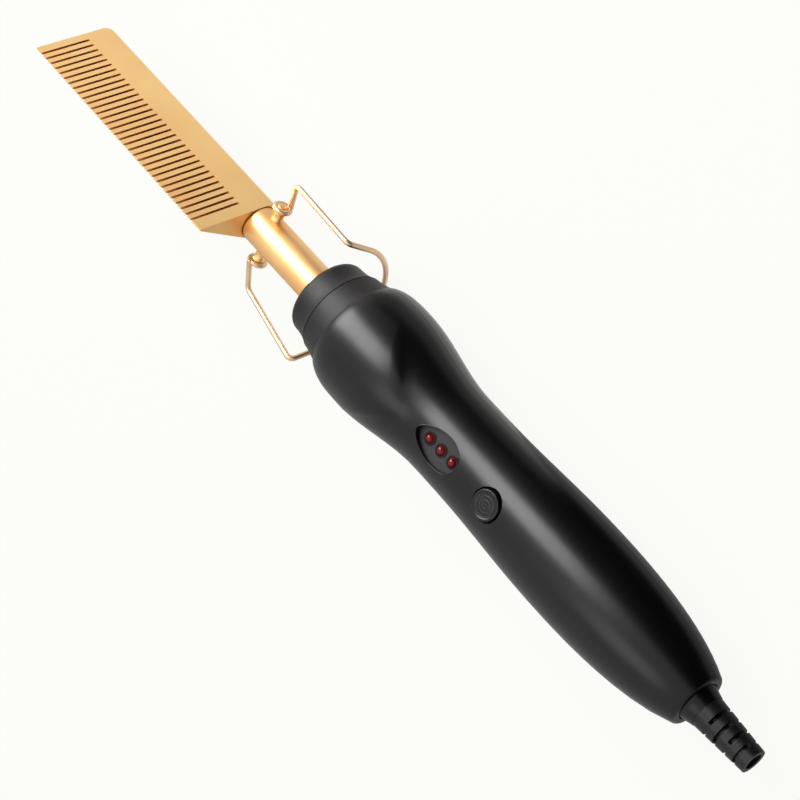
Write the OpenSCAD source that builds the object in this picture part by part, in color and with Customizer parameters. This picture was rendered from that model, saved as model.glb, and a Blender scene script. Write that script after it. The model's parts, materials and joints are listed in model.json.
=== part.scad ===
// Electric hot comb: a heated wedge-shaped comb on a steel neck, a round moulded handle with a
// lit window and a power button, a folding wire stand and a swivelling cord outlet.
// X runs along the neck from the cord outlet to the comb's tip, Z points the way of the teeth.

/* [Comb] */
// Length of the comb block
comb_len = 90; // [60:1:110]
// Height of the tooth tips above the neck's axis
tip_height = 23.2; // [18:0.2:30]
// Half thickness at the tooth tips
tip_half = 0.3; // [0.2:0.05:0.6]
// Half width of the spine, at its two edges
spine_half = 7; // [6.6:0.1:9]
// Depth of the spine's edges below the axis
spine_drop = 2.7; // [1:0.1:4]
// Height of the rounded back below the spine's edges
back_crown = 3.2; // [1.5:0.1:4]
// Number of slots between the teeth
slot_count = 33; // [8:1:33]
// Width of each slot
slot_w = 0.85; // [0.5:0.05:1.2]
// Extra width at each slot's mouth
slot_flare = 0.25; // [0.1:0.05:0.8]
// Height of the slots' roots above the axis
slot_root = 6.6; // [6:0.1:12]
// Solid margin between the neck and the first slot
root_margin = 4.4; // [2:0.1:8]
// Solid margin between the last slot and the comb's far end
tip_margin = 2.8; // [2:0.1:8]
// Corner radius of the spine's edge at the far end, seen from the side
comb_corner = 2.5; // [0.5:0.1:4]

/* [Heater] */
// Radius of the bore for the heater
heater_bore_r = 4.1; // [3:0.1:4.2]
// Length of the ceramic heater
heater_len = 66; // [30:1:70]
// Radius of one heater lead
lead_r = 0.7; // [0.5:0.05:0.75]
// Distance of each lead from the middle plane
lead_side = 4.2; // [3.8:0.05:4.3]
// Height of the leads above the axis
lead_up = 1.2; // [0.6:0.1:1.4]

/* [Neck] */
// Outer radius of the neck tube
neck_r = 6; // [5.8:0.05:6.4]
// Wall of the neck tube
neck_wall = 0.8; // [0.6:0.05:0.9]
// Length of neck that shows between the collar and the comb
neck_len = 33.5; // [26:0.5:50]
// Depth of the comb's spigot in the tube
spigot_len = 9; // [6:0.5:14]
// Width of the seam between the tube and the comb
neck_seam = 0.35; // [0.1:0.05:0.8]

/* [Collar] */
// Length of the front ring
front_ring_len = 9.2; // [7:0.2:14]
// Length of the rear ring
rear_ring_len = 8.2; // [7:0.2:14]
// Radius of the collar's front edge
collar_front_r = 12.8; // [12:0.1:13.4]
// Radius of the collar at the groove between its rings
collar_mid_r = 14.3; // [13.6:0.1:14.8]
// Radius of the collar where it meets the handle
collar_rear_r = 16.3; // [15.6:0.1:16.6]
// Rounding of the collar's front edge
collar_round = 2.4; // [0.5:0.1:3]
// Width of the groove between the rings
ring_groove = 0.35; // [0.2:0.05:0.6]

/* [Handle] */
// Length of the handle
handle_len = 148.6; // [140:0.2:160]
// Radius of the lip at the tail
tail_r = 8.5; // [8.3:0.1:9]
// Radius of the rear swell
rear_r = 15.7; // [15:0.1:17]
// Radius of the waist
waist_r = 14.35; // [14:0.05:15]
// Radius of the front swell
front_r = 18.55; // [17.8:0.05:20]
// Radius of the front rim
rim_r = 16.9; // [16.8:0.1:17.6]
// Rounding of the tail's lip
tail_round = 0.7; // [0.3:0.1:1]
// Wall of the handle shells
shell_wall = 2.2; // [1.8:0.1:2.4]
// Distance of the crease's point, where the hood over the controls ends, from the front rim
hood_reach = 32.3; // [28:0.5:34]
// Length of the steep fall behind the crease
hood_fall = 5; // [3:0.5:8]
// Turn of the controls and the parting line from the comb's plane
control_turn = 12; // [0:1:20]

/* [Window and button] */
// Length of the leaf-shaped window
window_len = 17.4; // [16:0.2:20]
// Width of the window at its widest
window_w = 10.4; // [8:0.2:11]
// Distance between the lamps
lamp_pitch = 5; // [4.2:0.1:5.5]
// Radius of each lamp
lamp_r = 1.4; // [1.2:0.05:1.6]
// Radius of the button's hole
button_hole_r = 5.1; // [4.8:0.1:5.4]
// Gap around the button's cap
button_gap = 0.6; // [0.3:0.05:0.8]
// Height of the button's cap above the handle
button_proud = 0.7; // [0.3:0.1:1.2]
// Travel of the button
button_travel = 0.8; // [0.4:0.1:0.9]

/* [Stand] */
// Radius of the stand's wire
wire_r = 0.85; // [0.7:0.05:0.95]
// Length of the stand's legs
leg_len = 31.1; // [29:0.1:34]
// Half width across the shoulders
shoulder_half = 19.9; // [18:0.1:21]
// Half width of the foot, at its top
foot_half = 22.35; // [21.5:0.05:24]
// Depth of the foot below the legs
foot_depth = 24.3; // [22:0.1:28]
// Radius of the foot's round bottom
foot_r = 20; // [18:0.5:20.5]
// Bend between the legs and the foot, in degrees
foot_turn = 96; // [88:1:100]
// Rise of the legs above the axis when the stand lies folded, in degrees
stand_rest = 9.3; // [7:0.1:11]
// Distance from the comb back to the stand's studs
stud_back = 5.8; // [5:0.1:12]

/* [Cord outlet] */
// Length of the ribbed sleeve
sleeve_len = 17.9; // [14:0.1:24]
// Length of the cone that shows between the sleeve and the handle
cone_len = 3.6; // [3:0.1:6]
// Radius of the cord's bore
cord_bore_r = 2.6; // [2:0.1:2.8]
// Radius of the sleeve at its free end
sleeve_end_r = 3.9; // [3.8:0.1:4.4]
// Radius of the sleeve at the cone
sleeve_root_r = 5.1; // [4.8:0.1:5.4]
// Number of slotted rings in the sleeve
sleeve_slots = 4; // [2:1:5]

/* [Hidden] */
$fn = 64;
fit_gap = 0.05;
seat_gap = 0.2;
cut = 1;

// Stations along X
x_sleeve = sleeve_len;
x_tail = x_sleeve + cone_len;
x_rim = x_tail + handle_len;
x_groove = x_rim + rear_ring_len;
x_collar = x_groove + front_ring_len;
x_comb = x_collar + neck_len;
x_tip = x_comb + comb_len;
x_stud = x_comb - stud_back;

// Stations of the handle's swells, measured from its two rims
rear_swell_at = 51.5;
waist_at = 95.5;
rise_back = 44.1;
front_swell_back = 11.1;
x_rear_swell = x_tail + rear_swell_at;
x_waist = x_tail + waist_at;
x_rise = x_rim - rise_back;
x_front_swell = x_rim - front_swell_back;
tail_power = 2.35;
tail_reach = rear_swell_at / pow(1 - pow(tail_r / rear_r, 2), 1 / tail_power);
rim_power = 3.4;
profile_step = 3;
end_step = 0.7;

// Inside of the handle
x_pocket = x_tail + 2.8;
pocket_len = 2.9;
pocket_r = 8.4;
rib_len = 2.4;
x_cavity = x_pocket + pocket_len + rib_len;
mouth_r = 15.2;
mouth_len = 4;
x_mouth = x_rim - mouth_len;

// Controls, in the turned frame
button_at = 76;
window_at = 98.9;
lamp_shift = 0.9;
x_button = x_tail + button_at;
x_window = x_tail + window_at;
x_lamps = x_window - lamp_shift;
board_w = 17;
board_t = 1.6;
board_top = 6.2;
board_bottom = board_top - board_t;
panel_top = 12.5;
panel_bottom = 10.4;
panel_lip = 1.1;
panel_lip_t = 0.8;
lamp_tip = 13.8;
cap_top = swell_r(x_button) + button_proud;
cap_bottom = 10.2;
cap_r = button_hole_r - button_gap;
flange_r = button_hole_r + 0.8;
flange_t = 0.7;
switch_w = 6;
switch_h = 3;
plunger_r = 1.75;
plunger_bottom = cap_bottom - 2.3;
board_post_r = 2.4;
board_edge = 3.7;
board_behind = 9.8;
panel_clear = 2;
board_post_x = [x_button - board_behind, x_window + window_len / 2 + panel_lip + panel_clear + board_post_r];
x_board = board_post_x[0] - board_edge;
board_len = board_post_x[1] + board_edge - x_board;
screw_r = 1.1;
screw_head_r = 2;
screw_head_t = 1.4;
board_screw_grip = 3.5;

// Screws that hold the shells
rear_screw_at = 25.5;
front_screw_back = 22;
shell_screw_x = [x_tail + rear_screw_at, x_rim - front_screw_back];
shell_screw_r = 1.4;
shell_head_r = 2.6;
shell_head_t = 2;
shell_boss_r = 3;
shell_seat = -6;
shell_screw_top = 7;

// Neck and heater
spigot_r = neck_r - neck_wall;
bore_end = comb_len - 7;
x_heater = x_comb + bore_end - heater_len - 1;
x_neck_start = x_mouth - 4;
disc_t = 3;
disc_r = 11.5;
disc_back = 3.6;
x_disc = x_rim - disc_back;
collar_wall = 3;
collar_front_t = 2;

// Stand
eye_r = 2.35;
neck_pin_r = eye_r - wire_r - fit_gap;
eye_side = 10.1;
shoulder_back = 1.5;
shoulder_bend = 2;
foot_bend = 1.7;
wire_lap = 0.06;
wire_step = 0.01;

function ease(t) = (1 - cos(180 * t)) / 2;
// The tail's lip is a quarter round on the end of the tail's curve
function tail_curve(x) = rear_r * sqrt(1 - pow((x_rear_swell - x) / tail_reach, tail_power));
function lip_cut(x) = tail_round - sqrt(max(0, pow(tail_round, 2) - pow(max(0, x_tail + tail_round - x), 2)));
function rim_curve(x) =
    front_r - (front_r - rim_r) * pow((x - x_front_swell) / (x_rim - x_front_swell), rim_power);

// Radius of the handle at a station
function swell_r(x) =
    x < x_rear_swell ? tail_curve(x) - lip_cut(x)
    : x < x_waist ? rear_r + (waist_r - rear_r) * ease((x - x_rear_swell) / (x_waist - x_rear_swell))
    : x < x_rise ? waist_r
    : x < x_front_swell ? waist_r + (front_r - waist_r) * ease((x - x_rise) / (x_front_swell - x_rise))
    : rim_curve(x);

// Radius of the hood, the fuller part of the front swell, which ends in a crease
hood_power = 2.6;
hood_start = x_rim - hood_reach - 2.4;
function hood_r(x) = front_r - (front_r - swell_r(hood_start))
    * pow(max(0, x_front_swell - x) / (x_front_swell - hood_start), hood_power);
// Station of the crease at an angle from the handle's top: nearest the controls on top, and it
// runs forward to the crest of the swell at the sides
crease_run = x_front_swell - (x_rim - hood_reach);
function crease_x(a) = x_rim - hood_reach + crease_run * pow(abs(sin(a)), 1.6);
function hood_rise(x) = x < x_front_swell ? max(0, hood_r(x) - swell_r(x)) : 0;
// Radius of the upper half at a station and an angle
function upper_r(x, a) =
    let (c = crease_x(a), behind = max(0, 1 - (c - x) / hood_fall))
    x > c ? swell_r(x) + hood_rise(x) : swell_r(x) + hood_rise(c) * behind * behind;

// Stations from a to b, one step apart, and along the whole handle, closer at its two rims
function stations(a, b, step = profile_step) =
    let (n = ceil((b - a) / step)) [for (i = [0:n]) a + (b - a) * i / n];
x_rim_start = x_rim - 7 * end_step;
handle_stations = concat(
    [for (i = [0:5]) x_tail + tail_round * (1 - cos(18 * i))],
    [for (x = stations(x_tail + tail_round, x_rim_start)) if (x > x_tail + tail_round) x],
    [for (x = stations(x_rim_start, x_rim, end_step)) if (x > x_rim_start) x]
);

// Turns a shape drawn along Z so that it lies along X
module along_x() { rotate([0, 90, 0]) children(); }
// Turns a shape into the frame of the controls and the parting line
module turned() { rotate([control_turn, 0, 0]) children(); }
// A pair of leads, side by side
module lead_pair(start, end, side, r) {
    turned() for (s = [-1, 1]) translate([0, s * side, lead_up]) bar(start, end - start, r);
}
// A round bar along X
module bar(x, len, r) { translate([x, 0, 0]) along_x() cylinder(h = len, r = r); }
// A solid of revolution about X through a list of [x, radius] points
module spun(points) {
    first = points[0];
    last = points[len(points) - 1];
    along_x() rotate_extrude() polygon(concat([[0, first[0]]], [for (p = points) [p[1], p[0]]], [[0, last[0]]]));
}

// ---- Comb ----

slot_pitch = (comb_len - root_margin - tip_margin - slot_w) / (slot_count - 1);

module comb_wedge() {
    reach = tip_height + spine_drop;
    slope = (spine_half - tip_half) / reach;
    foot = spine_drop + back_crown + cut;
    foot_half = tip_half + slope * (tip_height + foot);
    translate([x_comb, 0, 0]) rotate([90, 0, 90]) linear_extrude(comb_len) polygon([
        [-foot_half, -foot], [foot_half, -foot], [tip_half, tip_height], [-tip_half, tip_height]
    ]);
}

// The back is a shallow round between the spine's edges, and falls away in a dome at the far end
module comb_back_limit() {
    crown_r = (spine_half * spine_half + back_crown * back_crown) / (2 * back_crown);
    crown_z = crown_r - back_crown - spine_drop;
    x_dome = x_tip - comb_corner - spine_half;
    dome_steps = 12;
    translate([0, 0, crown_z]) spun(concat(
        [[x_comb, crown_r]],
        [for (i = [0:dome_steps - 1]) let (a = 90 * i / dome_steps)
            [x_dome + crown_r * sin(a), crown_r * cos(a)]]
    ));
    translate([x_comb, -2 * spine_half, cut - spine_drop])
        cube([comb_len, 4 * spine_half, 2 * tip_height]);
}

// Side outline, with the spine's far corner rounded
module comb_side_limit() {
    width = 4 * spine_half;
    low = spine_drop + back_crown + cut;
    round_z = comb_corner - spine_drop;
    translate([x_comb, -width / 2, -low]) cube([comb_len - comb_corner, width, low + tip_height]);
    translate([x_comb, -width / 2, round_z]) cube([comb_len, width, tip_height - round_z]);
    translate([x_tip - comb_corner, width / 2, round_z]) rotate([90, 0, 0])
        cylinder(h = width, r = comb_corner);
}

// One slot, with a mouth that flares between two tooth tips
module comb_slot() {
    flare_z = tip_height - 3 * slot_flare;
    rotate([90, 0, 0]) translate([0, 0, -spine_half]) linear_extrude(2 * spine_half) polygon([
        [-slot_w / 2, slot_root], [slot_w / 2, slot_root], [slot_w / 2, flare_z],
        [slot_w / 2 + slot_flare / 2, tip_height + cut], [-slot_w / 2 - slot_flare / 2, tip_height + cut],
        [-slot_w / 2, flare_z]
    ]);
}

module comb_head() {
    first_slot = x_comb + root_margin + slot_w / 2;
    color("goldenrod") difference() {
        union() {
            intersection() {
                comb_wedge();
                comb_back_limit();
                comb_side_limit();
            }
            bar(x_comb - spigot_len, spigot_len + cut, spigot_r);
        }
        bar(x_comb - spigot_len - cut, spigot_len + bore_end + cut, heater_bore_r);
        for (i = [0:slot_count - 1]) translate([first_slot + i * slot_pitch, 0, 0]) comb_slot();
    }
}

// ---- Heater and its wiring, inside the comb and the neck ----

module heater() {
    groove_w = 1.2;
    color("white") difference() {
        bar(x_heater, heater_len, heater_bore_r - fit_gap);
        for (s = [-1, 1])
            translate([x_heater - cut, s * heater_bore_r - groove_w / 2, -groove_w / 2])
                cube([heater_len + 2 * cut, groove_w, groove_w]);
    }
}

module thermal_fuse() {
    fuse_r = 1.6;
    fuse_len = 11;
    color("silver") translate([0, 0, -spigot_r + fuse_r + seat_gap])
        bar(x_comb - spigot_len - fuse_len - 2, fuse_len, fuse_r);
}

module heat_sensor() {
    sensor_r = 1.1;
    sensor_len = 5;
    color("orange") bar(x_heater - sensor_len, sensor_len, sensor_r);
}

module heater_leads() {
    start = x_heater_terminal + 3;
    color("whitesmoke") lead_pair(start, x_comb - spigot_len - 1, lead_side, lead_r);
}

module neck_tube() {
    color("gold") difference() {
        bar(x_neck_start, x_comb - neck_seam - x_neck_start, neck_r);
        bar(x_neck_start - cut, x_comb - x_neck_start + 2 * cut, spigot_r + fit_gap);
    }
}

// ---- Wire stand ----

// A peg with a waist, which flares to a shoulder. The stand's eye turns on the pin beyond it, held by
// a low head that lies in the eye's inner rim
module stud(side) {
    base_r = neck_pin_r + 0.45;
    slim_r = neck_pin_r + 0.15;
    shoulder_r = eye_r - 0.3;
    shoulder_end = eye_side - wire_r - fit_gap;
    head_r = neck_pin_r + 0.25;
    head_start = eye_side + 0.75 * wire_r;
    head_t = 0.5;
    steps = 8;
    waist_share = 0.45;
    length = shoulder_end - neck_r;
    function outline_r(t) =
        t < waist_share ? slim_r + (base_r - slim_r) * pow(1 - t / waist_share, 2)
        : slim_r + (shoulder_r - slim_r) * pow((t - waist_share) / (1 - waist_share), 2);
    color("gold") translate([x_stud, 0, 0]) rotate([-90 * side, 0, 0]) difference() {
        rotate_extrude() polygon(concat(
            [[0, 0], [base_r, 0]],
            [for (i = [0:steps]) [outline_r(i / steps), neck_r + length * i / steps]],
            [[neck_pin_r, shoulder_end], [neck_pin_r, eye_side + 0.4 * wire_r], [head_r, head_start]],
            [for (i = [1:steps]) let (a = 90 * i / steps) [head_r * cos(a), head_start + head_t * sin(a)]]
        ));
        rotate([90 * side, 0, 0]) translate([-x_stud, 0, 0]) bar(x_stud - 2 * base_r, 4 * base_r, neck_r);
    }
}

function unit(v) = v / norm(v);

// A straight run of wire between two points. It is a hair slimmer than the bends and laps into them
module wire(a, b) {
    d = b - a;
    run = norm(d);
    translate(a) rotate([0, acos(d[2] / run), atan2(d[1], d[0])])
        translate([0, 0, -wire_lap]) cylinder(h = run + 2 * wire_lap, r = wire_r - wire_step);
}

// A bend of wire in the XY plane, from +X round towards +Y
module wire_bend(bend_r, angle) {
    rotate_extrude(angle = angle) translate([bend_r, 0]) circle(r = wire_r, $fn = 24);
}

// Turns a shape so that its X, Y and Z lie along three directions square to each other
module framed(x, y, z) { rotate([atan2(y[2], z[2]), -asin(x[2]), atan2(x[1], x[0])]) children(); }

// A bend starts this far before its corner, so that both runs meet it squarely
function corner_turn(a, b, c) = acos(unit(b - a) * unit(c - b));
function corner_set(a, b, c, r) = r * tan(corner_turn(a, b, c) / 2);

module wire_corner(a, b, c, r) {
    along = unit(b - a);
    inward = unit(unit(c - b) - (unit(c - b) * along) * along);
    translate(b - corner_set(a, b, c, r) * along + r * inward)
        framed(-inward, along, cross(-inward, along)) wire_bend(r, corner_turn(a, b, c));
}

// Wire bent round a list of corners, each with its own radius; the first and last points are its ends
module bent_wire(points, radii) {
    last = len(points) - 1;
    sets = [for (i = [0:last]) i == 0 || i == last ? 0
        : corner_set(points[i - 1], points[i], points[i + 1], radii[i])];
    for (i = [1:last]) {
        along = unit(points[i] - points[i - 1]);
        wire(points[i - 1] + sets[i - 1] * along, points[i] - sets[i] * along);
    }
    for (i = [1:last - 1]) wire_corner(points[i - 1], points[i], points[i + 1], radii[i]);
}

// The stand in its own frame: the hinge along Y, the legs along -X. Both eyes are wound the same
// way round the hinge, so one leaves it above the axis and the other below
module wire_stand() {
    leave_r = eye_r + 0.7 * wire_r;
    foot_down = [-cos(foot_turn), 0, -sin(foot_turn)];
    // The foot's sides run from the legs' ends to touch the round bottom
    bottom_centre = foot_depth - foot_r;
    side_angle = atan2(bottom_centre, foot_half) + asin(foot_r / norm([foot_half, bottom_centre]));
    foot_reach = foot_half * tan(side_angle);
    function corners(s) = [
        [0, s * eye_side, s * leave_r], [-shoulder_back, s * shoulder_half, 0], [-leg_len, s * foot_half, 0]
    ];
    near = corners(-1);
    far = corners(1);
    bottom = [-leg_len, 0, 0] + foot_reach * foot_down;
    color("lightpink") translate([x_stud, 0, 0]) rotate([0, stand_rest, 0]) {
        for (s = [-1, 1]) {
            translate([0, s * eye_side, 0]) rotate([90, 0, 0]) wire_bend(eye_r, 360);
            translate(corners(s)[0]) sphere(r = wire_r, $fn = 32);
        }
        bent_wire(
            [near[0], near[1], near[2], bottom, far[2], far[1], far[0]],
            [0, shoulder_bend, foot_bend, foot_r, foot_bend, shoulder_bend, 0]
        );
    }
}

// ---- Collar ----

// Outline of the two rings: each flares towards the handle
front_flare = 3;
rear_flare = 1.3;
function collar_r(x) = x > x_groove
    ? collar_front_r + (collar_mid_r - collar_front_r) * pow(max(0, x_collar - x) / front_ring_len, front_flare)
    : collar_mid_r + (collar_rear_r - collar_mid_r) * pow((x_groove - x) / rear_ring_len, rear_flare);

module collar_front() {
    round_steps = 8;
    round_start = x_collar - collar_round;
    edge_r = collar_r(round_start);
    groove_end = x_groove + ring_groove;
    groove_r = collar_mid_r - 2 * ring_groove;
    color("dimgray") difference() {
        spun(concat(
            [[x_groove, groove_r], [groove_end, groove_r]],
            [for (x = stations(groove_end, round_start, end_step)) if (x < round_start) [x, collar_r(x)]],
            [for (i = [0:round_steps]) let (a = 90 * i / round_steps)
                [round_start + collar_round * sin(a), edge_r - collar_round + collar_round * cos(a)]]
        ));
        bar(x_groove - cut, front_ring_len + 2 * cut, neck_r + fit_gap);
        bar(x_groove - cut, front_ring_len - collar_front_t + cut, collar_front_r - collar_wall);
    }
}

module collar_rear() {
    spigot = mouth_r - fit_gap;
    spigot_start = x_rim - mouth_len - 4;
    color("#3a3638") difference() {
        spun(concat(
            [[spigot_start, spigot], [x_rim, spigot]],
            [for (x = stations(x_rim, x_groove, end_step)) [x, collar_r(x)]]
        ));
        bar(spigot_start - cut, x_groove - spigot_start + 2 * cut, disc_r);
    }
}

// Heat-proof disc that holds the neck in the collar
module neck_disc() {
    color("tan") difference() {
        bar(x_disc, disc_t, disc_r - fit_gap);
        bar(x_disc - cut, disc_t + 2 * cut, neck_r + fit_gap);
    }
}

// Ring pressed on the neck behind the disc, so that it can't pull out
module neck_ring() {
    color("silver") difference() {
        bar(x_disc - 3, 3, neck_r + 2);
        bar(x_disc - 3 - cut, 3 + 2 * cut, neck_r + fit_gap);
    }
}

// ---- Handle ----

// Upper half of the outside, a skin on a grid of rings that bend to follow the crease. Each ring
// is a half circle of points from one side of the parting line to the other
skin_sides = 30;
lip_rings = 5;
rear_rings = 28;
front_rings = 12;
function ease_out(t, power) = 1 - pow(1 - t, power);
function ring_x(i, a) =
    let (crease = crease_x(a), rear_start = x_tail + tail_round, rear_end = lip_rings + rear_rings)
    i <= lip_rings ? x_tail + tail_round * (1 - cos(90 * i / lip_rings))
    : i <= rear_end ? rear_start + (crease - rear_start) * ease_out((i - lip_rings) / rear_rings, 1.3)
    : crease + (x_rim - crease) * ease_out((i - rear_end) / front_rings, 1.6);

module upper_skin() {
    angles = [for (j = [0:skin_sides]) -90 + 180 * j / skin_sides];
    rings = lip_rings + rear_rings + front_rings;
    row = skin_sides + 1;
    points = [for (i = [0:rings]) for (a = angles)
        let (x = ring_x(i, a), r = upper_r(x, a)) [x, r * sin(a), abs(a) == 90 ? 0 : r * cos(a)]];
    sides = [for (i = [0:rings - 1]) for (j = [0:skin_sides - 1]) let (k = i * row + j)
        each [[k, k + 1, k + row + 1], [k, k + row + 1, k + row]]];
    floor = [for (i = [0:rings - 1]) let (k = i * row)
        each [[k, k + row, k + row + skin_sides], [k, k + row + skin_sides, k + skin_sides]]];
    ends = [[for (j = [0:skin_sides]) skin_sides - j], [for (j = [0:skin_sides]) rings * row + j]];
    polyhedron(points = points, faces = concat(sides, floor, ends));
}

module handle_outer() { spun([for (x = handle_stations) [x, swell_r(x)]]); }

module handle_inner() {
    spun(concat(
        [for (x = stations(x_cavity, x_mouth)) [x, max(pocket_r - 2, swell_r(x) - shell_wall)]]
    ));
    bar(x_mouth - cut, mouth_len + 2 * cut, mouth_r);
    bar(x_pocket, pocket_len, pocket_r);
    bar(x_tail - cut, x_pocket - x_tail + 2 * cut, journal_r + 0.08);
    bar(x_pocket, x_cavity - x_pocket + cut, shaft_r + 0.08);
}

// Bosses of the shells: half of each lies above the parting line
module shell_bosses() {
    for (x = shell_screw_x)
        translate([x, 0, -swell_r(x) + shell_wall / 2])
            cylinder(h = 2 * (swell_r(x) - shell_wall / 2), r = shell_boss_r);
}

module shell_screw_holes() {
    for (x = shell_screw_x) {
        translate([x, 0, shell_seat]) cylinder(h = shell_screw_top - shell_seat + 1, r = shell_screw_r + fit_gap);
        translate([x, 0, -swell_r(x) - cut])
            cylinder(h = swell_r(x) + shell_seat + cut, r = shell_head_r + seat_gap);
    }
}

module screw_towers() {
    for (x = shell_screw_x)
        translate([x, 0, -swell_r(x) + shell_wall / 2])
            cylinder(h = swell_r(x) + shell_seat + 2, r = shell_head_r + seat_gap + 1.2);
}

module screw_posts() {
    shell_bosses();
    screw_towers();
}

module half_space(s) {
    size = 2 * x_tip;
    translate([-cut, -size / 2, s > 0 ? 0 : -size]) cube([size, size, size]);
}

// Outline of the window: a leaf, pointed towards the comb
leaf_front = 0.62;
leaf_rear = 0.45;
leaf_peak = pow(leaf_front / (leaf_front + leaf_rear), leaf_front)
    * pow(leaf_rear / (leaf_front + leaf_rear), leaf_rear);
function leaf_half(u, w) = w / 2 * pow(u, leaf_front) * pow(1 - u, leaf_rear) / leaf_peak;

module leaf(len, w, h) {
    steps = 22;
    us = [for (i = [0:steps]) ease(i / steps)];
    upper = [for (u = us) [len / 2 - len * u, leaf_half(u, w)]];
    lower = [for (i = [steps - 1:-1:1]) [len / 2 - len * us[i], -leaf_half(us[i], w)]];
    linear_extrude(h) polygon(concat(upper, lower));
}

module board_posts() {
    for (x = board_post_x) translate([x, 0, board_top])
        cylinder(h = swell_r(x) - shell_wall / 2 - board_top, r = board_post_r);
}

module handle_upper() {
    color("#1b1a1c") turned() difference() {
        union() {
            difference() {
                upper_skin();
                handle_inner();
            }
            intersection() {
                upper_skin();
                shell_bosses();
            }
            board_posts();
        }
        shell_screw_holes();
        translate([x_button, 0, 0]) cylinder(h = 2 * front_r, r = button_hole_r);
        translate([x_window, 0, panel_bottom - panel_lip_t - cut]) leaf(window_len, window_w, 2 * front_r);
        for (x = board_post_x) translate([x, 0, board_top - cut])
            cylinder(h = board_screw_grip + 2 * cut, r = screw_r + fit_gap);
    }
}

module handle_lower() {
    color("#161517") turned() difference() {
        intersection() {
            union() {
                difference() {
                    handle_outer();
                    handle_inner();
                }
                intersection() {
                    handle_outer();
                    screw_posts();
                }
            }
            half_space(-1);
        }
        shell_screw_holes();
    }
}

module handle_screws() {
    color("silver") turned() for (x = shell_screw_x) {
        translate([x, 0, shell_seat - shell_head_t]) cylinder(h = shell_head_t, r = shell_head_r);
        translate([x, 0, shell_seat - cut]) cylinder(h = shell_screw_top - shell_seat + cut, r = shell_screw_r);
    }
}

// ---- Controls, on one board under the upper shell ----

module at_lamps() { for (i = [-1:1]) translate([i * lamp_pitch - lamp_shift, 0, 0]) children(); }

module lamp_panel() {
    inset = 2 * fit_gap;
    boss_r = lamp_r + 0.6;
    boss_h = 0.3;
    color("#2a282a") turned() translate([x_window, 0, 0]) difference() {
        union() {
            translate([0, 0, panel_bottom])
                leaf(window_len - inset, window_w - inset, panel_top - panel_bottom);
            translate([0, 0, panel_bottom - panel_lip_t])
                leaf(window_len + 2 * panel_lip, window_w + panel_lip, panel_lip_t + 0.01);
            at_lamps() translate([0, 0, panel_bottom])
                cylinder(h = panel_top - panel_bottom + boss_h, r = boss_r);
        }
        at_lamps() cylinder(h = 2 * panel_top, r = lamp_r + 2 * fit_gap);
    }
}

module lamp(i) {
    rim_z = panel_bottom - panel_lip_t - seat_gap;
    rim_t = 0.9;
    leg_gap = 1;
    leg_r = 0.25;
    color("red") turned() translate([x_lamps + i * lamp_pitch, 0, 0]) {
        translate([0, 0, lamp_tip - lamp_r]) sphere(r = lamp_r);
        translate([0, 0, rim_z - rim_t]) cylinder(h = lamp_tip - lamp_r - rim_z + rim_t, r = lamp_r);
        translate([0, 0, rim_z - rim_t]) cylinder(h = rim_t, r = lamp_r + 0.4);
        for (s = [-1, 1]) translate([s * leg_gap, 0, board_top]) cylinder(h = rim_z - board_top, r = leg_r);
    }
}

module circuit_board() {
    color("darkgreen") turned() difference() {
        translate([x_board, -board_w / 2, board_bottom]) cube([board_len, board_w, board_t]);
        for (x = board_post_x) translate([x, 0, board_bottom - cut])
            cylinder(h = board_t + 2 * cut, r = screw_r + fit_gap);
    }
}

module board_screws() {
    color("silver") turned() for (x = board_post_x) {
        translate([x, 0, board_bottom - screw_head_t]) cylinder(h = screw_head_t, r = screw_head_r);
        translate([x, 0, board_bottom - 0.01]) cylinder(h = board_t + board_screw_grip, r = screw_r);
    }
}

module button_switch() {
    color("#3b3b3d") turned() translate([x_button, 0, board_top]) difference() {
        translate([-switch_w / 2, -switch_w / 2, 0]) cube([switch_w, switch_w, switch_h]);
        translate([0, 0, plunger_bottom - board_top - button_travel - seat_gap])
            cylinder(h = switch_h, r = plunger_r + fit_gap);
    }
}

module switch_plunger() {
    color("black") turned() translate([x_button, 0, plunger_bottom])
        cylinder(h = cap_bottom - plunger_bottom, r = plunger_r);
}

module button_cap() {
    crown_r = 24;
    color("#201f21") turned() translate([x_button, 0, 0]) {
        intersection() {
            translate([0, 0, cap_bottom]) cylinder(h = cap_top - cap_bottom, r = cap_r);
            translate([0, 0, cap_top - crown_r]) sphere(r = crown_r, $fn = 96);
        }
        translate([0, 0, cap_bottom]) cylinder(h = flange_t, r = flange_r);
    }
}

terminal_len = 10;
terminal_edge = 6;
supply_edge = 8;
part_gap = 3.5;
triac_t = 4.4;
triac_w = 10.4;
capacitor_len = 6;
capacitor_w = 12;
capacitor_h = 9;
chip_len = 7;
chip_w = 5;
chip_t = 1.6;
module terminal_block(x, side) {
    half = side + 1.8;
    foot = lead_up - lead_r - 1.9;
    difference() {
        turned() translate([x, -half, foot]) cube([terminal_len, 2 * half, board_bottom - foot]);
        lead_pair(x - cut, x + terminal_len + cut, side, lead_r + fit_gap);
    }
}

x_heater_terminal = x_board + board_len - terminal_len - terminal_edge;
x_supply_terminal = x_board + supply_edge;
x_triac = x_heater_terminal - part_gap - triac_t;
x_capacitor = x_triac - part_gap - capacitor_len;
x_chip = x_button + switch_w / 2 + part_gap;
module heater_terminal() { color("seagreen") terminal_block(x_heater_terminal, lead_side); }
module supply_terminal() { color("seagreen") terminal_block(x_supply_terminal, supply_side); }

module triac() {
    color("#2c2c2e") turned()
        translate([x_triac, -triac_w / 2, board_bottom - triac_t]) cube([triac_t, triac_w, triac_t]);
}

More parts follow.
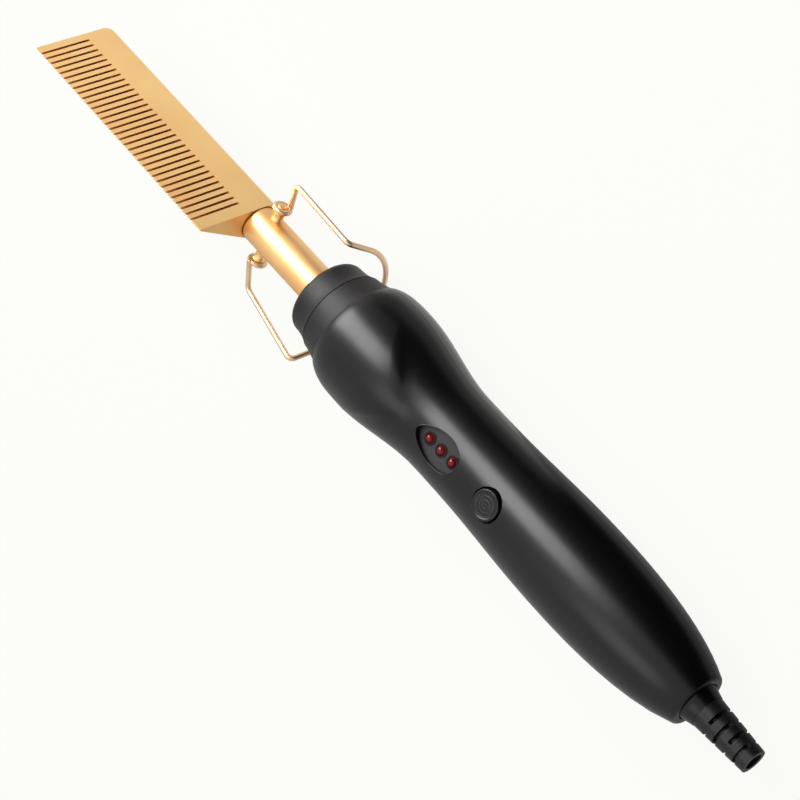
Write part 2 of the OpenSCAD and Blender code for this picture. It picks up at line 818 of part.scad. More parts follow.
module film_capacitor() {
    color("goldenrod") turned()
        translate([x_capacitor, -capacitor_w / 2, board_bottom - capacitor_h])
            cube([capacitor_len, capacitor_w, capacitor_h]);
}

module controller_chip() {
    color("#2c2c2e") turned() translate([x_chip, -chip_w / 2, board_top]) cube([chip_len, chip_w, chip_t]);
}

module supply_leads() {
    color("whitesmoke") lead_pair(x_block + block_len - brush_socket, x_supply_terminal + terminal_len - 3,
        supply_side, lead_r);
}

// ---- Swivelling cord outlet ----

journal_r = 6.5;
shaft_r = 5;
flange_out = 8.1;
x_block = x_cavity + 3;
block_len = 8;
shaft_end = x_block + block_len + 1;
ring_r = shaft_r + 0.5;
ring_len = 2;
brush_socket = 3;
supply_side = ring_r + lead_r + 0.5;

module swivel_cone() {
    flange_x = x_pocket + 0.3;
    flange_len = pocket_len - 0.6;
    color("#141315") difference() {
        union() {
            spun([[x_sleeve, sleeve_root_r + 0.15], [x_tail - 0.2, journal_r - 0.35], [x_tail + 0.4, journal_r],
                  [x_pocket, journal_r]]);
            bar(x_pocket - cut, shaft_end - x_pocket + cut, shaft_r);
            bar(flange_x, flange_len, flange_out);
        }
        bar(x_sleeve - cut, shaft_end - x_sleeve + 2 * cut, cord_bore_r);
    }
}

module slip_rings() {
    color("gold") for (i = [0, 1]) difference() {
        bar(x_block + 1.2 + i * 3.6, ring_len, ring_r);
        bar(x_block + i * 3.6, ring_len + 3, shaft_r + fit_gap);
    }
}

module brush_block() {
    side = 9;
    color("ivory") difference() {
        intersection() {
            turned() translate([x_block, -side, -side]) cube([block_len, 2 * side, 2 * side]);
            spun([for (x = stations(x_block, x_block + block_len)) [x, swell_r(x) - shell_wall - seat_gap]]);
        }
        bar(x_block - cut, block_len + 2 * cut, ring_r + 0.3);
        lead_pair(x_block + block_len - brush_socket, x_block + block_len + cut, supply_side, lead_r + fit_gap);
    }
}

// Ribbed sleeve: each ring has two slots with two bridges between them, turned by a quarter each time
module ribbed_sleeve() {
    level_pitch = sleeve_len / (sleeve_slots + 1.03);
    level_w = 1.15;
    bridge = 2.6;
    core_r = cord_bore_r + 0.5;
    color("#101012") difference() {
        spun([[0, sleeve_end_r], [x_sleeve, sleeve_root_r]]);
        bar(-cut, x_sleeve + 2 * cut, cord_bore_r);
        for (i = [0:sleeve_slots - 1]) {
            level_x = level_pitch * (i + 0.9) - level_w / 2;
            difference() {
                bar(level_x, level_w, 2 * sleeve_root_r);
                bar(level_x - cut, level_w + 2 * cut, core_r);
                rotate([90 * (i % 2), 0, 0])
                    translate([level_x - cut, -2 * sleeve_root_r, -bridge / 2])
                        cube([level_w + 2 * cut, 4 * sleeve_root_r, bridge]);
            }
        }
    }
}

comb_head();
heater();
thermal_fuse();
heat_sensor();
heater_leads();
neck_tube();
stud(-1);  // stud_near
stud(1);  // stud_far
wire_stand();
collar_front();
collar_rear();
neck_disc();
neck_ring();
handle_upper();
handle_lower();
handle_screws();
lamp_panel();
lamp(1);  // lamp_front
lamp(0);  // lamp_middle
lamp(-1);  // lamp_rear
circuit_board();
board_screws();
button_switch();
switch_plunger();
button_cap();
heater_terminal();
supply_terminal();
triac();
film_capacitor();
controller_chip();
supply_leads();
swivel_cone();
slip_rings();
brush_block();
ribbed_sleeve();
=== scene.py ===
"""Electric hot comb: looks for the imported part. Units are metres, X runs along the neck to the comb's tip."""

import json
import math

import bmesh
import bpy
import numpy as np
from mathutils import Matrix, Vector


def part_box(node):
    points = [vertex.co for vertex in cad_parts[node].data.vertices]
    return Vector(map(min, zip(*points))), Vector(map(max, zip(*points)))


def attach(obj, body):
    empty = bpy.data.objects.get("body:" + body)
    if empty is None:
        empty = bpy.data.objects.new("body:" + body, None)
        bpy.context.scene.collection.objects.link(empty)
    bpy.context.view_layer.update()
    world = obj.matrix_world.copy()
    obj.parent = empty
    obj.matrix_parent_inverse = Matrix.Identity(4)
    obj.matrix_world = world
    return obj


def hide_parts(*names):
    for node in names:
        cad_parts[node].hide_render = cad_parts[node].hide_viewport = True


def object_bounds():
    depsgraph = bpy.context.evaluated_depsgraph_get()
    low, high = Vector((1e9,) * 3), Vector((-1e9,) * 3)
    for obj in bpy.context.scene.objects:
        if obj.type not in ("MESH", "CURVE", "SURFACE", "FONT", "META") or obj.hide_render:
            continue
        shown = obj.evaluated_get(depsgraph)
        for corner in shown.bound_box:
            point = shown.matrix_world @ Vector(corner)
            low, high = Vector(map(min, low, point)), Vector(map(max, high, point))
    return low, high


MM = 0.001
TURN = math.radians(12)  # the controls and the parting plane are turned this far about X
WHITE = (1, 1, 1, 1)
SQUARE = ((-1, -1), (1, -1), (1, 1), (-1, 1))  # corners of a square, in order round it

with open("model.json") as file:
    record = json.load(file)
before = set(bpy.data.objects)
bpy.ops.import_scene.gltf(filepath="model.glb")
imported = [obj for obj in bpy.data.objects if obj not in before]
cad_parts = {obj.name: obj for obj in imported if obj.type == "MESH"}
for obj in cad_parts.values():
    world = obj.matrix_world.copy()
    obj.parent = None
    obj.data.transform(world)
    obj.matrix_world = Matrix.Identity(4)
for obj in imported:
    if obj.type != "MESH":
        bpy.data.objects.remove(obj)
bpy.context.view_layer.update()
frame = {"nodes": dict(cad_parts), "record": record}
nodes = frame["nodes"]
slots = {p["node"]: p["material_slot"] for p in frame["record"]["subparts"]}
bodies = {n: b for b, ns in frame["record"]["behaviour"]["bodies"].items() for n in ns}


def tone(code):
    """Linear RGBA of an sRGB hex colour."""
    rgb = [int(code[i : i + 2], 16) / 255 for i in (1, 3, 5)]
    return [c / 12.92 if c <= 0.04045 else ((c + 0.055) / 1.055) ** 2.4 for c in rgb] + [1.0]


def empty_tree(block):
    """The emptied node tree of a material or a world."""
    block.use_nodes = True
    block.node_tree.nodes.clear()
    return block.node_tree


def add(tree, kind, inputs=(), **settings):
    """A node with its settings, which are sockets by name or the node's own attributes, and its inputs.

    Inputs are pairs of a value and a socket's name or number: another node's output is linked, and a constant
    is set.
    """
    node = tree.nodes.new(kind)
    for key, value in settings.items():
        name = key.replace("_", " ").lower()
        socket = next((s for s in node.inputs if s.name.lower() == name), None)
        if socket is not None and not hasattr(node, key):
            socket.default_value = value
        else:
            setattr(node, key, value)
    for value, target in inputs:
        if isinstance(value, bpy.types.NodeSocket):
            tree.links.new(value, node.inputs[target])
        else:
            node.inputs[target].default_value = value
    return node


def finish_of(name, colour, roughness, **extra):
    """A new material with an even colour and roughness; extra holds its shader's other sockets."""
    material = bpy.data.materials.new(name)
    tree = empty_tree(material)
    shader = add(tree, "ShaderNodeBsdfPrincipled", Base_Color=tone(colour), Roughness=roughness, **extra)
    add(tree, "ShaderNodeOutputMaterial", [(shader.outputs[0], "Surface")])
    return material


def shader_of(material):
    """The material's shader node."""
    return next(n for n in material.node_tree.nodes if n.bl_idname == "ShaderNodeBsdfPrincipled")


def grained(material, size, height, spread, stretch=(1, 1, 1), patches=None):
    """Gives a material its grain, and returns it.

    Noise of a size in millimetres raises the surface by a height in millimetres and moves the roughness by up
    to spread each way. Stretch under 1 draws the grain out along that axis. Patches are a second colour and
    the size in millimetres of the soft patches in which it shows.
    """
    tree, shader = material.node_tree, shader_of(material)
    place = add(tree, "ShaderNodeTexCoord").outputs["Object"]
    drawn_out = add(tree, "ShaderNodeMapping", [(place, "Vector")], Scale=stretch)
    noise = add(tree, "ShaderNodeTexNoise", [(drawn_out.outputs[0], "Vector")],
                Scale=1 / (size * MM), Detail=3.0)
    bump = add(tree, "ShaderNodeBump", [(noise.outputs["Fac"], "Height")], Strength=1.0, Distance=height * MM)
    tree.links.new(bump.outputs[0], shader.inputs["Normal"])
    even = shader.inputs["Roughness"].default_value
    uneven = add(tree, "ShaderNodeMapRange", [(noise.outputs["Fac"], 0)],
                 To_Min=even - spread, To_Max=even + spread)
    tree.links.new(uneven.outputs[0], shader.inputs["Roughness"])
    if patches:
        second_colour, patch_size = patches
        cloud = add(tree, "ShaderNodeTexNoise", [(place, "Vector")], Scale=1 / (patch_size * MM), Detail=2.0)
        ramp = add(tree, "ShaderNodeValToRGB", [(cloud.outputs["Fac"], "Fac")])
        patch, plain = ramp.color_ramp.elements
        patch.position, plain.position = 0.35, 0.65
        patch.color, plain.color = tone(second_colour), tuple(shader.inputs["Base Color"].default_value)
        tree.links.new(ramp.outputs[0], shader.inputs["Base Color"])
    return material


def shaded_slots(material, colour):
    """The comb's slot walls and the seam round the neck take a darker colour: painted shade, as shade falls in
    these hollows, and some tarnish.

    A slot's wall faces along X and lies between the first slot and the last. The seam is the step near the
    axis where the comb begins. Sizes are in millimetres.
    """
    wall_facing = 0.8
    first_slot, last_slot = 225.5, 308.5
    seam_radius, seam_end = 6.25, 221.05
    tree, shader = material.node_tree, shader_of(material)
    place = add(tree, "ShaderNodeTexCoord")
    at = add(tree, "ShaderNodeSeparateXYZ", [(place.outputs["Object"], 0)])
    facing = add(tree, "ShaderNodeSeparateXYZ", [(place.outputs["Normal"], 0)])
    around = add(tree, "ShaderNodeCombineXYZ", [(at.outputs["Y"], "Y"), (at.outputs["Z"], "Z")])
    radius = add(tree, "ShaderNodeVectorMath", [(around.outputs[0], 0)], operation="LENGTH")
    steep = add(tree, "ShaderNodeMath", [(facing.outputs["X"], 0)], operation="ABSOLUTE")
    x = at.outputs["X"]
    slot_tests = [(steep.outputs[0], "GREATER_THAN", wall_facing), (x, "GREATER_THAN", first_slot * MM),
                  (x, "LESS_THAN", last_slot * MM)]
    seam_tests = [(radius.outputs["Value"], "LESS_THAN", seam_radius * MM), (x, "LESS_THAN", seam_end * MM)]
    masks = []
    for tests in (slot_tests, seam_tests):
        mask = 1.0
        for source, operation, limit in tests:
            passed = add(tree, "ShaderNodeMath", [(source, 0), (limit, 1)], operation=operation)
            both = add(tree, "ShaderNodeMath", [(mask, 0), (passed.outputs[0], 1)], operation="MULTIPLY")
            mask = both.outputs[0]
        masks.append(mask)
    dark = add(tree, "ShaderNodeMath", [(masks[0], 0), (masks[1], 1)], operation="MAXIMUM")
    plain = shader.inputs["Base Color"].links[0].from_socket
    # Sockets 6 and 7 of a Mix node are its two colours, and output 2 is the mixed one
    mix = add(tree, "ShaderNodeMix", [(dark.outputs[0], 0), (plain, 6), (tone(colour), 7)], data_type="RGBA")
    tree.links.new(mix.outputs[2], shader.inputs["Base Color"])


# Finishes, one for each slot. The real grains are a few hundredths of a millimetre, too fine to show, so each
# is drawn coarser, at the size in millimetres that is given with it.
finishes = {}

# Gold-plated, bead-blasted brass: a fine even grain that spreads every highlight
finishes["comb_gold"] = grained(
    finish_of("gilded_blasted_brass", "#EBC487", 0.44, Metallic=1.0),
    size=0.35, height=0.006, spread=0.05, patches=("#E6BC7F", 25))
# Painted shade in the slots and at the seam round the neck
shaded_slots(finishes["comb_gold"], "#D89448")

# Gold-plated drawn steel tube: smoother, faint lines along the tube
finishes["neck_gold"] = grained(
    finish_of("gilded_drawn_steel", "#EEC084", 0.42, Metallic=1.0),
    size=0.5, height=0.003, spread=0.04, stretch=(0.08, 1, 1), patches=("#E9B67A", 18))

# Bronze-flashed spring wire: drawn, a pale champagne tone with warmer patches
finishes["stand_wire"] = grained(
    finish_of("bronzed_spring_wire", "#E2C6A2", 0.42, Metallic=1.0),
    size=0.4, height=0.0012, spread=0.06, stretch=(0.1, 1, 1), patches=("#D6B48E", 9))

# Moulded ABS with a fine spark-eroded grain: black, satin, with a soft sheen
finishes["handle_black"] = grained(
    finish_of("moulded_black_abs", "#060506", 0.3, Specular_IOR_Level=0.32),
    size=0.3, height=0.004, spread=0.03, patches=("#080707", 30))

# Glass-filled PBT of the heat-proof collar: duller and a little greyer
finishes["collar_black"] = grained(
    finish_of("moulded_pbt", "#131112", 0.5, Specular_IOR_Level=0.28),
    size=0.4, height=0.012, spread=0.06, patches=("#171516", 12))

# Polished ABS of the window's panel, black with a soft gloss; its colour is painted light, a lighter grey that
# makes up for light its recess keeps off it
finishes["window_black"] = grained(
    finish_of("polished_abs_painted_lighter", "#383536", 0.34, Specular_IOR_Level=0.32),
    size=0.4, height=0.004, spread=0.03)

# The same ABS where the tool was left glossy: the deep black collars of the lamps and the window's rim
glossy_abs = grained(
    finish_of("glossy_abs", "#060606", 0.16, Specular_IOR_Level=0.32),
    size=0.4, height=0.001, spread=0.02)

# Tinted cast epoxy of the lamps: clear red, smooth, a little lit from inside
finishes["lamp_red"] = finish_of(
    "red_epoxy", "#6E0C0B", 0.1, Coat_Weight=0.15, Coat_Roughness=0.03, Specular_IOR_Level=0.2,
    Emission_Color=tone("#B02218"), Emission_Strength=0.08)

# Silicone-painted ABS of the button: black with a soft, dull sheen
finishes["button_black"] = grained(
    finish_of("painted_abs", "#100F0F", 0.33, Specular_IOR_Level=0.32),
    size=0.25, height=0.006, spread=0.05)

# Moulded flexible PVC of the sleeve: waxy black
finishes["sleeve_black"] = grained(
    finish_of("flexible_pvc", "#0F0E0F", 0.38, Specular_IOR_Level=0.32),
    size=0.6, height=0.015, spread=0.06, patches=("#131212", 8))

# Pressed and fired alumina: chalky off-white
finishes["heater_ceramic"] = grained(
    finish_of("fired_alumina", "#E6E2D6", 0.6),
    size=0.3, height=0.02, spread=0.08, patches=("#DAD4C4", 6))

# Solder mask on glass-epoxy laminate: green with a faint weave-sized ripple
finishes["board_green"] = grained(
    finish_of("solder_mask", "#12502A", 0.35),
    size=0.8, height=0.01, spread=0.05, patches=("#0E4323", 5))

# Moulded epoxy of the components: dull dark grey
finishes["component_dark"] = grained(
    finish_of("moulded_epoxy", "#232325", 0.55),
    size=0.2, height=0.01, spread=0.05)

# Dipped resin of the capacitor and the sensor: yellow and slightly wavy
finishes["component_yellow"] = grained(
    finish_of("dipped_resin", "#C69A32", 0.35),
    size=1.5, height=0.03, spread=0.05)

# Moulded nylon of the terminals: green with a soft sheen
finishes["terminal_plastic"] = grained(
    finish_of("moulded_nylon", "#2E7B52", 0.45),
    size=0.4, height=0.01, spread=0.05)

# Extruded silicone insulation of the leads: soft white
finishes["lead_white"] = grained(
    finish_of("silicone_insulation", "#E8E6DF", 0.5),
    size=0.5, height=0.01, spread=0.05)

# Zinc-plated steel of the screws, the ring and the fuse's case: cool and fairly bright
finishes["steel_bright"] = grained(
    finish_of("zinc_plated_steel", "#B9BBBE", 0.32, Metallic=1.0),
    size=0.3, height=0.004, spread=0.06)

# Turned brass of the slip rings: bright, with lines round the axis
finishes["brass_ring"] = grained(
    finish_of("turned_brass", "#D2A95C", 0.25, Metallic=1.0),
    size=0.3, height=0.004, spread=0.05, stretch=(1, 0.1, 0.1))

# Pressed phenolic board of the insulators: mottled tan
finishes["insulator_tan"] = grained(
    finish_of("phenolic_board", "#8A6B45", 0.6),
    size=0.6, height=0.02, spread=0.06, patches=("#7C5E3B", 4))


def linked(name, data):
    """A new object of the scene."""
    thing = bpy.data.objects.new(name, data)
    bpy.context.scene.collection.objects.link(thing)
    return thing


def smooth(mesh, crease=None):
    """Shades a mesh smoothly, apart from edges that bend by more than a crease angle in degrees."""
    mesh.polygons.foreach_set("use_smooth", np.ones(len(mesh.polygons), bool))
    if crease is not None:
        mesh.set_sharp_from_angle(angle=math.radians(crease))


def corners_of(mesh):
    """The mesh's corner points in millimetres."""
    points = np.empty(len(mesh.vertices) * 3)
    mesh.vertices.foreach_get("co", points)
    return points.reshape(-1, 3) / MM


def put_corners(mesh, points):
    """Moves the mesh's corners to points given in millimetres."""
    mesh.vertices.foreach_set("co", (points * MM).ravel())
    mesh.update()


def turned(along, across, up):
    """Points given along X, and across and up in the frame that is turned with the controls."""
    return np.stack([along, across * math.cos(TURN) - up * math.sin(TURN),
                     across * math.sin(TURN) + up * math.cos(TURN)], -1)


def across_and_up(points):
    """How far points lie across and up in the frame that is turned with the controls."""
    y, z = points[:, 1], points[:, 2]
    return y * math.cos(TURN) + z * math.sin(TURN), z * math.cos(TURN) - y * math.sin(TURN)


def welded(node, crease):
    """A merged copy of a CAD node, so that its curved faces shade smoothly."""
    weld = 0.002 * MM
    mesh = nodes[node].data.copy()
    if mesh.has_custom_normals:
        mesh.attributes.remove(mesh.attributes["custom_normal"])
    work = bmesh.new()
    work.from_mesh(mesh)
    bmesh.ops.remove_doubles(work, verts=work.verts, dist=weld)
    work.to_mesh(mesh)
    work.free()
    smooth(mesh, crease)
    return linked(node + "_skin", mesh)


def squared_tip(mesh):
    """The comb's back runs level to the rounded corner of its tip.

    Near the tip, points between the back and a ledge 1 mm above it drop to the back, and those on the sloping
    sides go out to the back's edge; the crown, which narrows toward the tip, stays. The corner's points cover
    only the part of its circle past the ledge's end, and are spread over the whole quarter:
    new angle = (angle - first angle) x 90 / (90 - first angle).
    """
    back, ledge, half_width, side_slope = -2.7, -1.7, 7.0, 0.2587
    corner_r, corner_x, corner_z = 2.5, 308.5, -0.2
    ledge_start, ledge_end, ledge_corner = 301.6, 310.4, 310.5
    crown_lean, near, on_side, corner_play = 0.5, 0.001, 0.004, 0.01
    p = corners_of(mesh)
    x, y, z = p.T.copy()
    side = np.abs(np.abs(y) - (half_width - side_slope * (z - back))) < on_side
    corner = (x > ledge_corner - corner_play) & (z < corner_z + near) & (z > ledge - corner_play)
    tip = (x > ledge_start) & (x < ledge_end)
    low = tip & (z > back) & (z < ledge + near) & (np.abs(y) > crown_lean * (ledge_end - x))
    low |= tip & (np.abs(z - ledge) < near)
    p[low, 2] = back
    p[low & side, 1] = np.sign(y[low & side]) * half_width
    first = math.asin((ledge_corner - corner_x) / corner_r)
    angle = np.arcsin(np.clip((x[corner] - corner_x) / corner_r, -1, 1))
    angle = (angle - first) * (math.pi / 2) / (math.pi / 2 - first)
    p[corner, 0] = corner_x + corner_r * np.sin(angle)
    p[corner, 2] = corner_z - corner_r * np.cos(angle)
    p[corner, 1] = np.sign(y[corner]) * (half_width - side_slope * (p[corner, 2] - back))
    p[(p[:, 2] == back) & (p[:, 0] > corner_x), 0] = corner_x
    put_corners(mesh, p)


def on_skin(points):
    """Which points lie on the outside of the handle's tail: past a cone that stays inside its wall."""
    cone_x, cone_r, cone_slope, cone_end_r = 22, 8.7, 0.2, 14.4
    cone = np.minimum(cone_r + cone_slope * (points[:, 0] - cone_x), cone_end_r)
    return np.hypot(points[:, 1], points[:, 2]) > cone


def tail_edge(points):
    """Where a shell's outer edge lies over the handle's tail: distances along the axis and from it."""
    on_plane, tail_start, tail_end = 0.02, 22.1, 66
    x, up = points[:, 0], across_and_up(points)[1]
    edge = points[(np.abs(up) < on_plane) & (x > tail_start) & (x < tail_end) & on_skin(points)]
    edge = edge[np.argsort(edge[:, 0])]
    return edge[:, 0], np.hypot(edge[:, 1], edge[:, 2])


def closed_parting(lower, upper):
    """The shells meet along the tail: near the parting plane the lower one's skin moves out or in.

    New radius = radius + (upper edge's radius - lower edge's radius) x (1 - distance from the plane / depth).
    """
    depth, tail_start, tail_end = 3, 22.3, 62
    p = corners_of(lower)
    x, up, radius = p[:, 0], across_and_up(p)[1], np.hypot(p[:, 1], p[:, 2])
    moved = (x > tail_start) & (x < tail_end) & (np.abs(up) < depth) & on_skin(p)
    step = np.interp(x, *tail_edge(corners_of(upper))) - np.interp(x, *tail_edge(p))
    grow = 1 + moved * step * (1 - np.abs(up) / depth) / np.maximum(radius, 1)
    p[:, 1] *= grow
    p[:, 2] *= grow
    put_corners(lower, p)


def turned_button(centre):
    """The button's cap: a profile carried round its axis, which passes through centre.

    The top is a shallow dish with waves:
    height = level + wave x cos(2 pi radius / pitch) - fall x radius squared.
    Round it the rim rises by half a cosine wave, and a rounded edge, the side and the hidden flange follow.
    """
    level, wave, pitch, fall = 15.36, 0.045, 1.15, 0.004
    dish_r, rim_width, rim_rise = 3.5, 0.45, 0.2
    side_r, edge_r = 4.5, 0.4
    flange_r, flange_top, foot = 5.9, 10.9, 10.2
    steps, dish_rings, rim_rings, edge_rings = 96, 50, 9, 7
    r = np.linspace(0, dish_r, dish_rings)
    dish = level + wave * np.cos(2 * np.pi * r / pitch) - fall * r * r
    share = np.linspace(0.15, 1, rim_rings)
    rim = dish[-1] + rim_rise * (1 - np.cos(np.pi * share)) / 2
    bend = np.linspace(0, np.pi / 2, edge_rings)
    profile = np.concatenate([
        np.stack([r, dish], 1),
        np.stack([dish_r + rim_width * share, rim], 1),
        np.stack([side_r - edge_r + edge_r * np.sin(bend), rim[-1] - edge_r + edge_r * np.cos(bend)], 1),
        [[side_r, flange_top], [flange_r, flange_top], [flange_r, foot], [0, foot]],
    ])
    angle = np.arange(steps) * 2 * np.pi / steps
    ring_r, ring_up = profile[1:-1, 0], profile[1:-1, 1]
    rings = turned(centre + np.outer(ring_r, np.cos(angle)), np.outer(ring_r, np.sin(angle)),
                   np.repeat(ring_up[:, None], steps, 1)).reshape(-1, 3)
    poles = turned(np.full(2, centre), np.zeros(2), profile[[0, -1], 1])
    rows = len(ring_r)
    i, j = np.meshgrid(np.arange(rows - 1), np.arange(steps), indexing="ij")
    k = (j + 1) % steps
    bands = np.stack([i * steps + j, (i + 1) * steps + j, (i + 1) * steps + k, i * steps + k], -1)
    bands = bands.reshape(-1, 4)
    j = np.arange(steps)
    k = (j + 1) % steps
    top_pole, foot_pole, last_ring = rows * steps, rows * steps + 1, (rows - 1) * steps
    crown = np.stack([np.full(steps, top_pole), j, k], 1)
    base = np.stack([np.full(steps, foot_pole), last_ring + k, last_ring + j], 1)
    mesh = bpy.data.meshes.new("button_turned")
    mesh.from_pydata((np.concatenate([rings, poles]) * MM).tolist(), [],
                     bands.tolist() + crown.tolist() + base.tolist())
    smooth(mesh, crease=40)
    return linked("button_turned", mesh)


def collared(mesh, lamp_axes, material):
    """The panel's faces near a lamp's axis take the finish of the lamps' collars."""
    collar_r = 2.05
    centres = np.empty(len(mesh.polygons) * 3)
    mesh.polygons.foreach_get("center", centres)
    centres = centres.reshape(-1, 3) / MM
    across = across_and_up(centres)[0]
    near = np.min([np.hypot(centres[:, 0] - a, across) for a in lamp_axes], axis=0) < collar_r
    mesh.materials.append(material)
    mesh.polygons.foreach_set("material_index", near.astype(np.int32))


def middle_x(node):
    """A node's middle along X, in millimetres."""
    low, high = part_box(node)
    return (low[0] + high[0]) / 2 / MM


# Edges that bend by more than a crease angle in degrees stay sharp; three nodes need an angle of their own
usual_crease = 35
creases = {"lamp_panel": 20, "comb_head": 14, "wire_stand": 62}
skins = {}
for node in nodes:
    if node == "button_cap":
        skins[node] = turned_button(middle_x(node))
    else:
        skins[node] = welded(node, creases.get(node, usual_crease))
squared_tip(skins["comb_head"].data)
closed_parting(skins["handle_lower"].data, skins["handle_upper"].data)
for node, piece in skins.items():
    piece.data.materials.clear()
    piece.data.materials.append(finishes[slots[node]])
    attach(piece, bodies[node])
    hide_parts(node)
lamp_axes = [middle_x(lamp) for lamp in ("lamp_front", "lamp_middle", "lamp_rear")]
collared(skins["lamp_panel"].data, lamp_axes, glossy_abs)


def rim_path(mesh, centre, half_length, half_width, steps=120):
    """Points along the window's outer edge, given along X, across and up.

    They are the shell's sharp corners above the recess's floor, sorted round the middle and spaced evenly by
    angle.
    """
    floor_up, floor_r = 10, 13.7
    p = corners_of(mesh)
    sharp = np.empty(len(mesh.edges), bool)
    mesh.attributes["sharp_edge"].data.foreach_get("value", sharp)
    ends = np.empty(len(mesh.edges) * 2, np.int32)
    mesh.edges.foreach_get("vertices", ends)
    p = p[np.unique(ends.reshape(-1, 2)[sharp])]
    across, up = across_and_up(p)
    along = p[:, 0] - centre
    rim = (np.abs(along) < half_length) & (np.abs(across) < half_width)
    rim &= (up > floor_up) & (np.hypot(across, up) > floor_r)
    angle = np.arctan2(across[rim], along[rim])
    order = np.argsort(angle)
    angle, rim = angle[order], np.flatnonzero(rim)[order]
    even = -np.pi + (np.arange(steps) + 0.5) * 2 * np.pi / steps
    return np.stack([np.interp(even, angle, v[rim], period=2 * np.pi) for v in (p[:, 0], across, up)], 1)


def bead(name, path, radius, sides=10):
    """A closed bead, a circle carried round a path.

    Point = path + radius x (upward x cos a + outward x sin a), where a runs round the circle.
    """
    tangent = np.roll(path, -1, 0) - np.roll(path, 1, 0)
    tangent /= np.linalg.norm(tangent, axis=1, keepdims=True)
    outward = np.cross(tangent, [0, 0, 1.0])
    outward /= np.linalg.norm(outward, axis=1, keepdims=True)
    upward = np.cross(outward, tangent)
    a = np.arange(sides)[:, None] * 2 * np.pi / sides
    grid = path[:, None] + radius * (upward[:, None] * np.cos(a) + outward[:, None] * np.sin(a))
    points = turned(*grid.reshape(-1, 3).T)
    i, j = np.meshgrid(np.arange(len(path)), np.arange(sides), indexing="ij")
    next_i, next_j = (i + 1) % len(path), (j + 1) % sides
    faces = np.stack([i * sides + j, i * sides + next_j, next_i * sides + next_j, next_i * sides + j], -1)
    mesh = bpy.data.meshes.new(name)
    mesh.from_pydata((points * MM).tolist(), [], faces.reshape(-1, 4).tolist())
    work = bmesh.new()
    work.from_mesh(mesh)
    bmesh.ops.recalc_face_normals(work, faces=work.faces)
    work.to_mesh(mesh)
    work.free()
    smooth(mesh)
    return linked(name, mesh)


# The window's rounded rim: a bead sunk a little into the recess's edge
rim_radius, rim_sink = 0.16, 0.07
edge_path = rim_path(skins["handle_upper"].data, middle_x("lamp_panel"), half_length=9.6, half_width=6.2)
window_rim = bead("window_rim", edge_path - [0, 0, rim_sink], rim_radius)
window_rim.data.materials.append(glossy_abs)
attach(window_rim, bodies["handle_upper"])


def card(name, corners, material):
    """A flat studio card through its corners; it isn't part of the object."""
    mesh = bpy.data.meshes.new(name)
    mesh.from_pydata(corners, [], [tuple(range(len(corners)))])
    mesh.materials.append(material)
    board = linked(name, mesh)
    return board


# Floor: pale, and white to the eye and in reflections; it takes the object's shadow
floor_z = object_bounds()[0][2]
floor_half = 6.0
glow_share = 0.93
floor_paint = bpy.data.materials.new("pale_floor")
tree = empty_tree(floor_paint)
matt = add(tree, "ShaderNodeBsdfDiffuse", Color=tone("#F4F4F2"))
glow = add(tree, "ShaderNodeEmission", Color=tone("#FEFEFB"), Strength=1.0)
ray = add(tree, "ShaderNodeLightPath")
seen = add(tree, "ShaderNodeMath", [(ray.outputs["Is Camera Ray"], 0), (ray.outputs["Is Glossy Ray"], 1)],
           operation="MAXIMUM")
share = add(tree, "ShaderNodeMath", [(seen.outputs[0], 0), (glow_share, 1)], operation="MULTIPLY")
mix = add(tree, "ShaderNodeMixShader", [(share.outputs[0], 0), (matt.outputs[0], 1), (glow.outputs[0], 2)])
add(tree, "ShaderNodeOutputMaterial", [(mix.outputs[0], "Surface")])
card("floor", [(u * floor_half, v * floor_half, floor_z) for u, v in SQUARE], floor_paint)

# World: dim for matt faces, white to the eye; gloss sees it grow from grey at the horizon to white overhead
matt_level, horizon_level, overhead_level, overhead_z = 0.35, 0.66, 1.0, 0.8
world = bpy.data.worlds.new("studio")
bpy.context.scene.world = world
tree = empty_tree(world)
ray = add(tree, "ShaderNodeLightPath")
place = add(tree, "ShaderNodeTexCoord")
height = add(tree, "ShaderNodeSeparateXYZ", [(place.outputs["Generated"], 0)])
sheen = add(tree, "ShaderNodeMapRange", [(height.outputs["Z"], 0)],
            From_Min=0.0, From_Max=overhead_z, To_Min=horizon_level, To_Max=overhead_level)
# Sockets 2 and 3 of a Mix node are its two numbers
unseen = add(tree, "ShaderNodeMix", [(ray.outputs["Is Glossy Ray"], 0), (matt_level, 2),
                                     (sheen.outputs[0], 3)], data_type="FLOAT")
level = add(tree, "ShaderNodeMix", [(ray.outputs["Is Camera Ray"], 0), (unseen.outputs[0], 2),
                                    (1.0, 3)], data_type="FLOAT")
back = add(tree, "ShaderNodeBackground", [(level.outputs[0], "Strength")], Color=WHITE)
add(tree, "ShaderNodeOutputWorld", [(back.outputs[0], "Surface")])

# Camera: a long lens above the tail, looking down along the handle
right = Vector((-0.603075, -0.399981, -0.690157))
down = Vector((-0.661745, 0.733979, 0.152870))
ahead = Vector((0.445415, 0.548900, -0.707329))
eye = Vector((-0.145906, -0.355175, 0.465037))


def placed(x_axis, y_axis, z_axis, place):
    """The matrix of an object with these axes at a place."""
    return Matrix([[x_axis[i], y_axis[i], z_axis[i], place[i]] for i in range(3)] + [[0, 0, 0, 1]])


camera_data = bpy.data.cameras.new("camera")
camera_data.sensor_width = 36
camera_data.lens = 103.087
camera_data.clip_start = 0.01
camera_data.clip_end = 50
camera = linked("camera", camera_data)
camera.matrix_world = placed(right, -down, -ahead, eye)
bpy.context.scene.camera = camera


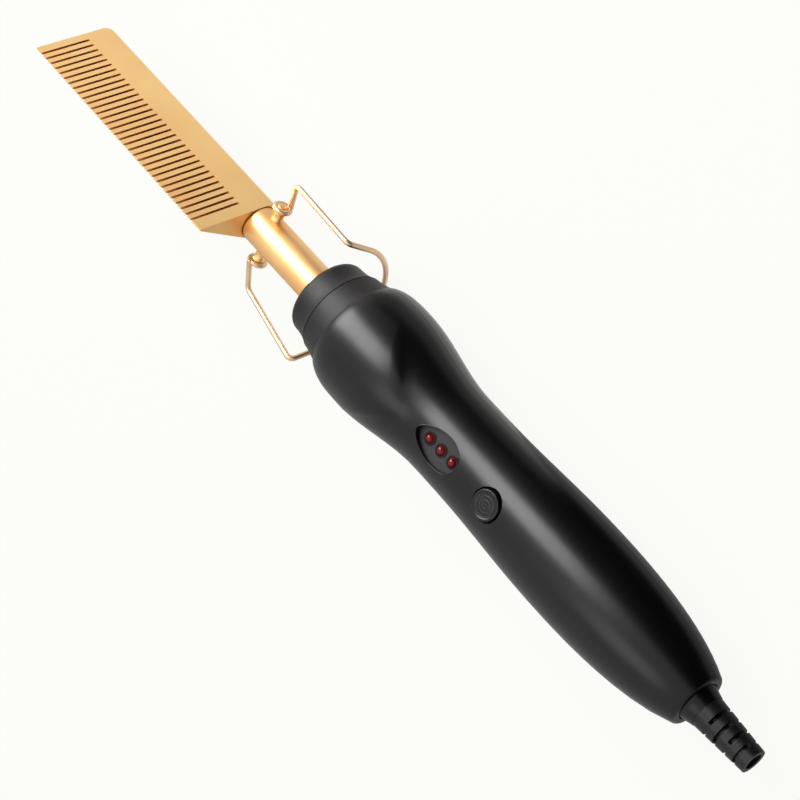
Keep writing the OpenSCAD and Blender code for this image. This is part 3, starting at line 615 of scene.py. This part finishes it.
def gloss_card(name, strength, corners):
    """A glowing or dark card that shows in reflections only."""
    paint = bpy.data.materials.new(name)
    tree = empty_tree(paint)
    glow = add(tree, "ShaderNodeEmission", Color=WHITE, Strength=strength)
    add(tree, "ShaderNodeOutputMaterial", [(glow.outputs[0], "Surface")])
    board = card(name, corners, paint)
    board.visible_camera = board.visible_diffuse = board.visible_shadow = board.visible_transmission = False


def panel(name, lean, swing, length, width, radiance, shine):
    """A soft light panel that faces the part, leant toward -Y and swung toward +X by angles in degrees.

    Its power is radiance x pi x area. Gloss shows a card of strength shine in its place.
    """
    aim, away = Vector((0.12, 0, 0)), 1.3
    a, b = math.radians(lean), math.radians(swing)
    facing = Vector((math.sin(b), -math.cos(b) * math.sin(a), math.cos(b) * math.cos(a)))
    across = facing.cross(Vector((1, 0, 0))).normalized()
    along = across.cross(facing)
    place = aim + facing * away
    light = bpy.data.lights.new(name, "AREA")
    light.shape = "RECTANGLE"
    light.size, light.size_y = length, width
    light.energy = radiance * math.pi * length * width
    lamp = linked(name, light)
    lamp.matrix_world = placed(along, -across, facing, place)
    lamp.visible_glossy = False
    half_length, half_width = along * (length / 2), across * (width / 2)
    gloss_card(name + "_card", shine, [place + half_length * u + half_width * v for u, v in SQUARE])


# Lights: soft panels over the part
panel("key_panel", lean=35, swing=42, length=1.25, width=0.7, radiance=5.1, shine=12.5)
panel("top_panel", lean=-4, swing=-2, length=0.65, width=0.65, radiance=1.5, shine=2.9)

# Flags: dark and grey cards that keep the handle's sides dark and show in reflections only. Four lie side by
# side just over the floor, and one stands along their outer edge. Each has a strength and its corners.
lift, wall_height = 0.0005, 0.28
tail_x, outer_y, inner_y, beyond_y = -0.7, -0.32, -0.03, 0.03
edge_points = [(0.33, -0.16), (0.215, -0.11), (0.188, -0.065), (0.12, -0.065)]
grip_point = (0.1, inner_y)


def laid(outline):
    """The points of a card that lies just over the floor."""
    return [(x, y, floor_z + lift) for x, y in outline]


def stood(outline):
    """The points of a card that stands at the outer edge, from points along X and above the floor."""
    return [(x, outer_y, floor_z + z) for x, z in outline]


flags = {
    "flag_lying": (0.0, laid([(tail_x, outer_y), (0.4, outer_y), *edge_points, grip_point, (tail_x, inner_y)])),
    "flag_front": (0.45, laid([*edge_points[::-1], (0.26, -0.1), (0.235, inner_y), grip_point])),
    "flag_standing": (0.0, stood([(tail_x, lift), (0.3, lift), (0.3, wall_height), (tail_x, wall_height)])),
    # flag_under is a painted shadow: a grey card where the handle's shadow falls on the floor, seen only in
    # reflections
    "flag_under": (0.4, laid([(tail_x, inner_y), grip_point, (0.16, beyond_y), (tail_x, beyond_y)])),
    "flag_beyond": (0.62, laid([(tail_x, beyond_y), (0.6, beyond_y), (0.6, 1.5), (tail_x, 1.5)])),
}
for name, (strength, corners) in flags.items():
    gloss_card(name, strength, corners)

bpy.context.scene.view_settings.view_transform = "Standard"
